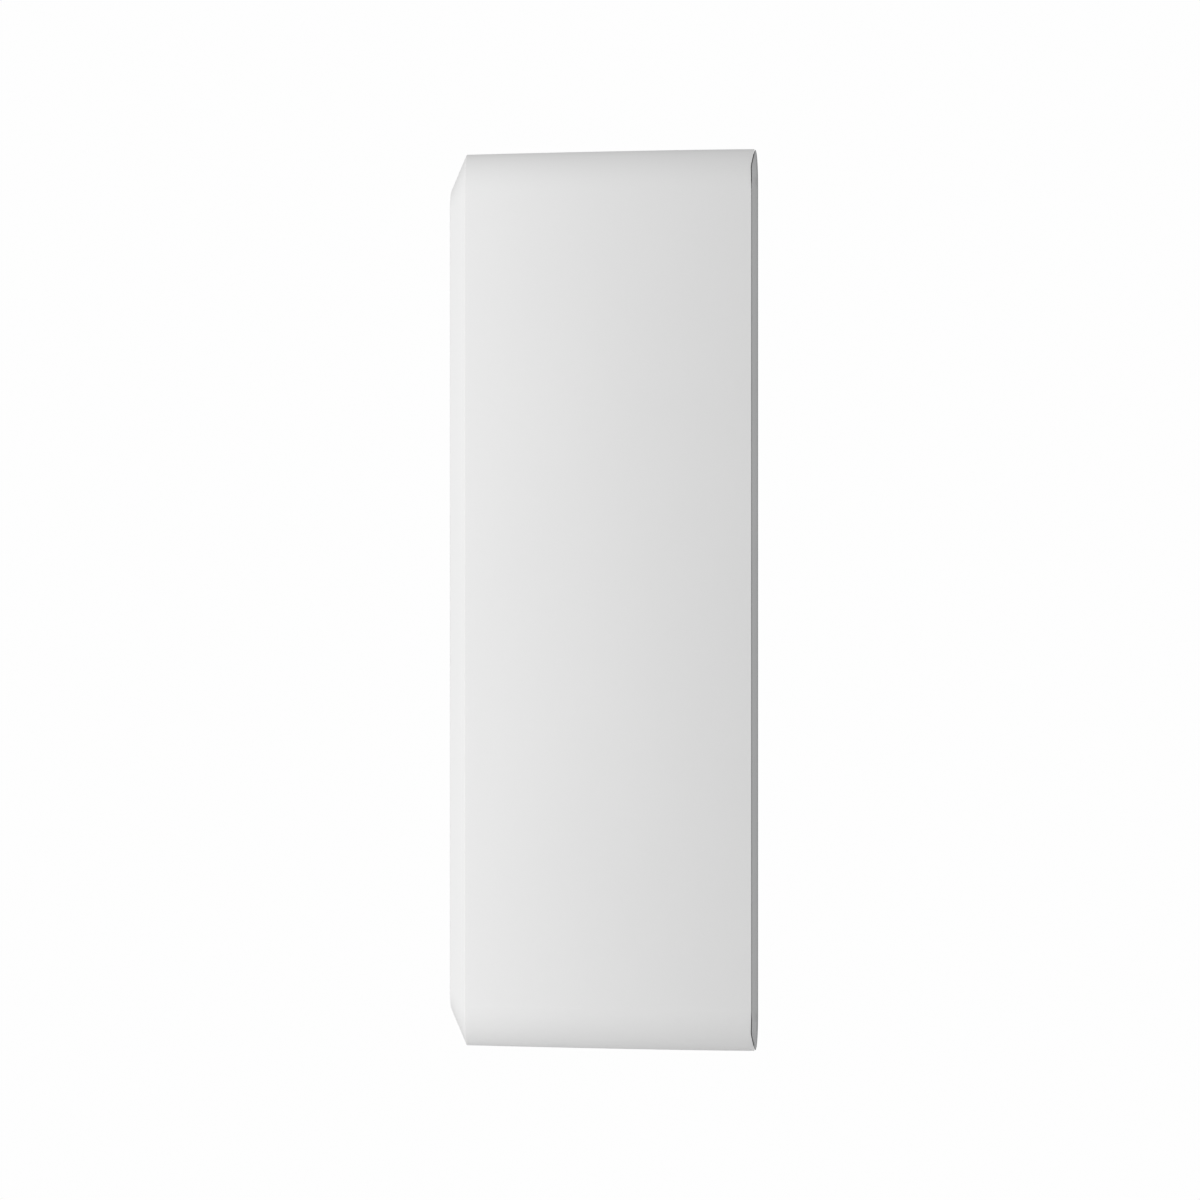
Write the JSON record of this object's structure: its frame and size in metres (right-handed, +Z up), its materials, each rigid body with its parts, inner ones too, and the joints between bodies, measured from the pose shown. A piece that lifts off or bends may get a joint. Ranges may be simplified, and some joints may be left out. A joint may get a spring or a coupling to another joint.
{
  "type": "video doorbell",
  "caption": "White upright video doorbell with a bevelled front, camera window, motion sensor, push button, sound slots and a clip-on wall plate.",
  "frame": {"origin": "centre of the wall plate's rear face, where it meets the wall", "axes": "+Z up, the front looks along -Y away from the wall, +X across the width"},
  "size_m": [0.06, 0.0397, 0.1172],
  "materials": {
    "housing_white": "fine satin moulded finish",
    "window_black": "polished, infrared-clear",
    "lens_glass": "coated optical glass",
    "filter_glass": "coated filter glass",
    "black_plastic": "fine matt moulded finish",
    "grey_plastic": "fine matt moulded finish",
    "cover_plastic": "fine matt moulded finish",
    "ring_plastic": "milky light guide",
    "pir_plastic": "milky polyethylene",
    "button_white": "satin gloss",
    "seal_rubber": "matt silicone",
    "dome_rubber": "translucent silicone",
    "foam": "closed-cell foam",
    "mesh_fabric": "woven acoustic mesh",
    "board_green": "solder-masked circuit board",
    "chip_black": "moulded epoxy",
    "lamp_clear": "clear lamp body",
    "connector_cream": "moulded connector",
    "steel": "zinc plated",
    "can_metal": "tinned sheet",
    "spring_steel": "rolled spring steel",
    "gold": "plated brass",
    "copper_film": "copper on polyimide film",
    "sleeve_blue": "heat-shrink film",
    "cell_metal": "nickel-plated can",
    "wire_red": "wire insulation",
    "wire_black": "wire insulation"
  },
  "bodies": {
    "wall_mount": {"wall_plate": "grey_plastic", "catch_springs": "spring_steel"},
    "camera_unit": {"front_housing": "housing_white", "camera_window": "window_black", "window_gasket": "foam", "lens_barrel": "black_plastic", "front_lens": "lens_glass", "inner_lenses": "lens_glass", "lens_holder": "black_plastic", "ir_filter": "filter_glass", "image_sensor": "chip_black", "camera_board": "board_green", "camera_connector": "connector_cream", "ir_board": "board_green", "ir_leds": "lamp_clear", "light_sensor": "chip_black", "ir_baffle": "black_plastic", "camera_bracket": "black_plastic", "bracket_screws": "steel", "pir_lens": "pir_plastic", "pir_sensor": "can_metal", "light_ring": "ring_plastic", "ring_gasket": "seal_rubber", "button_switch": "can_metal", "button_dome": "dome_rubber", "ring_leds": "lamp_clear", "main_board": "board_green", "board_screws": "steel", "shield_can": "can_metal", "processor": "chip_black", "memory_chip": "chip_black", "microphone": "gold", "mic_boot": "seal_rubber", "speaker_frame": "black_plastic", "speaker_cone": "chip_black", "speaker_magnet": "steel", "speaker_gasket": "foam", "speaker_mesh": "mesh_fabric", "battery_cells": "cell_metal", "battery_sleeve": "sleeve_blue", "battery_cradle": "black_plastic", "battery_lead": "wire_red", "battery_plug": "connector_cream", "usb_board": "board_green", "usb_port": "can_metal", "usb_tongue": "black_plastic", "reset_switch": "can_metal", "board_ribbon": "copper_film", "wifi_antenna": "copper_film", "antenna_cable": "wire_black", "rear_cover": "cover_plastic", "cover_gasket": "seal_rubber", "cover_screws": "steel", "terminal_block": "black_plastic", "terminal_screws": "gold"},
    "bell": {"bell_button": "button_white", "button_plunger": "black_plastic"},
    "port_door": {"usb_door": "housing_white", "door_seal": "seal_rubber"},
    "reset": {"reset_button": "grey_plastic"}
  },
  "joints": [
    {"name": "unit_release", "type": "slide", "parent": "wall_mount", "child": "camera_unit", "axis": [0, -1, 0], "range_m": [0, 0.03], "deforming": ["catch_springs"]},
    {"name": "bell_press", "type": "slide", "parent": "camera_unit", "child": "bell", "axis": [0, 1, 0], "range_m": [0, 0.0007], "stiffness_N_per_m": 400, "springref_m": -0.001, "deforming": ["button_dome"]},
    {"name": "port_door_hinge", "type": "hinge", "parent": "camera_unit", "child": "port_door", "pos_m": [0, -0.01, -0.0573], "axis": [1, 0, 0], "range_deg": [0, 90]},
    {"name": "reset_press", "type": "slide", "parent": "camera_unit", "child": "reset", "axis": [0, 0, 1], "range_m": [0, 0.0005], "stiffness_N_per_m": 100, "springref_m": -0.001}
  ]
}
